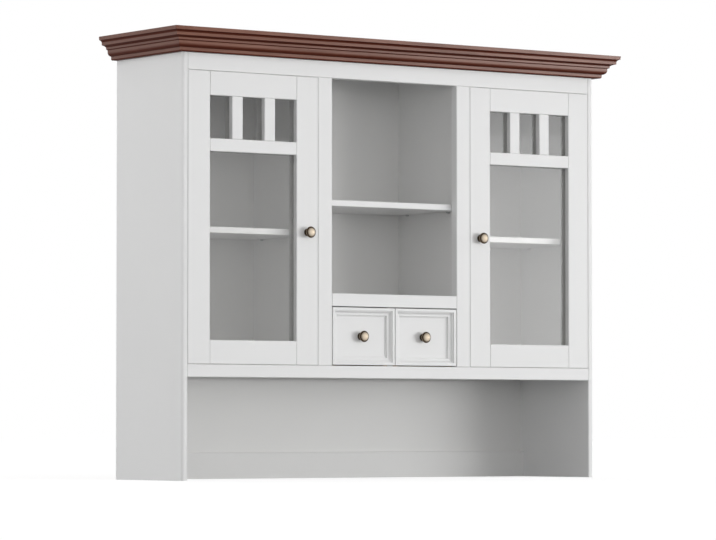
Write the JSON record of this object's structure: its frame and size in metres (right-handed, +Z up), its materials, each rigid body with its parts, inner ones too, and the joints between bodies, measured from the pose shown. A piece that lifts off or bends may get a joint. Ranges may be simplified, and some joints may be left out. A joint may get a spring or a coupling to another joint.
{
  "type": "sideboard hutch",
  "caption": "White painted hutch for a sideboard, with glazed framed doors, an open shelf niche over small moulded drawers, an open serving bay and a stained stepped cornice.",
  "frame": {"origin": "under the middle of the whole hutch, on the plane of its feet", "axes": "+X to the right seen from the front, +Y to the rear, +Z up"},
  "size_m": [1.408, 0.36, 1.1195],
  "materials": {
    "painted_wood": "satin white paint",
    "painted_board": "matt white paint",
    "stained_wood": "satin red-brown stain",
    "raw_pine": "clear matt lacquer",
    "glass": "clear",
    "antique_brass": "antique, darkened",
    "steel": "zinc plated",
    "catch_plastic": "matt",
    "bead_plastic": "matt dark grey"
  },
  "bodies": {
    "case": {"back_panel": "painted_board", "back_rail": "painted_wood", "bottom_rail": "painted_wood", "cabinet_floor": "painted_wood", "cornice_front": "stained_wood", "cornice_left": "stained_wood", "cornice_right": "stained_wood", "door_catches": "catch_plastic", "drawer_divider": "painted_wood", "drawer_guides": "raw_pine", "frieze_rail": "painted_wood", "niche_floor": "painted_wood", "niche_rail": "painted_wood", "partition_left": "painted_wood", "partition_right": "painted_wood", "pivot_plates": "steel", "shelf_left": "painted_wood", "shelf_niche": "painted_wood", "shelf_pins": "steel", "shelf_right": "painted_wood", "side_left": "painted_wood", "side_right": "painted_wood", "top_board": "painted_wood", "upright_left": "painted_wood", "upright_right": "painted_wood"},
    "door_left": {"door_left_bottom_rail": "painted_wood", "door_left_glazing_beads": "bead_plastic", "door_left_hinge_stile": "painted_wood", "door_left_knob": "antique_brass", "door_left_knob_stile": "painted_wood", "door_left_mid_rail": "painted_wood", "door_left_mullions": "painted_wood", "door_left_panes": "glass", "door_left_pivot_bushes": "antique_brass", "door_left_strike": "steel", "door_left_top_rail": "painted_wood"},
    "door_right": {"door_right_bottom_rail": "painted_wood", "door_right_glazing_beads": "bead_plastic", "door_right_hinge_stile": "painted_wood", "door_right_knob": "antique_brass", "door_right_knob_stile": "painted_wood", "door_right_mid_rail": "painted_wood", "door_right_mullions": "painted_wood", "door_right_panes": "glass", "door_right_pivot_bushes": "antique_brass", "door_right_strike": "steel", "door_right_top_rail": "painted_wood"},
    "drawer_left": {"drawer_left_box_bottom": "raw_pine", "drawer_left_box_ends": "raw_pine", "drawer_left_box_sides": "raw_pine", "drawer_left_front_frame": "painted_wood", "drawer_left_front_panel": "painted_wood", "drawer_left_knob": "antique_brass"},
    "drawer_right": {"drawer_right_box_bottom": "raw_pine", "drawer_right_box_ends": "raw_pine", "drawer_right_box_sides": "raw_pine", "drawer_right_front_frame": "painted_wood", "drawer_right_front_panel": "painted_wood", "drawer_right_knob": "antique_brass"}
  },
  "joints": [
    {"name": "door_left_hinge", "type": "hinge", "parent": "case", "child": "door_left", "pos_m": [-0.6112, -0.1195, 0.289], "axis": [0, 0, -1], "range_deg": [0, 105]},
    {"name": "door_right_hinge", "type": "hinge", "parent": "case", "child": "door_right", "pos_m": [0.6112, -0.1195, 0.289], "axis": [0, 0, 1], "range_deg": [0, 105]},
    {"name": "drawer_left_slide", "type": "slide", "parent": "case", "child": "drawer_left", "axis": [0, -1, 0], "range_m": [0, 0.2]},
    {"name": "drawer_right_slide", "type": "slide", "parent": "case", "child": "drawer_right", "axis": [0, -1, 0], "range_m": [0, 0.2]}
  ]
}
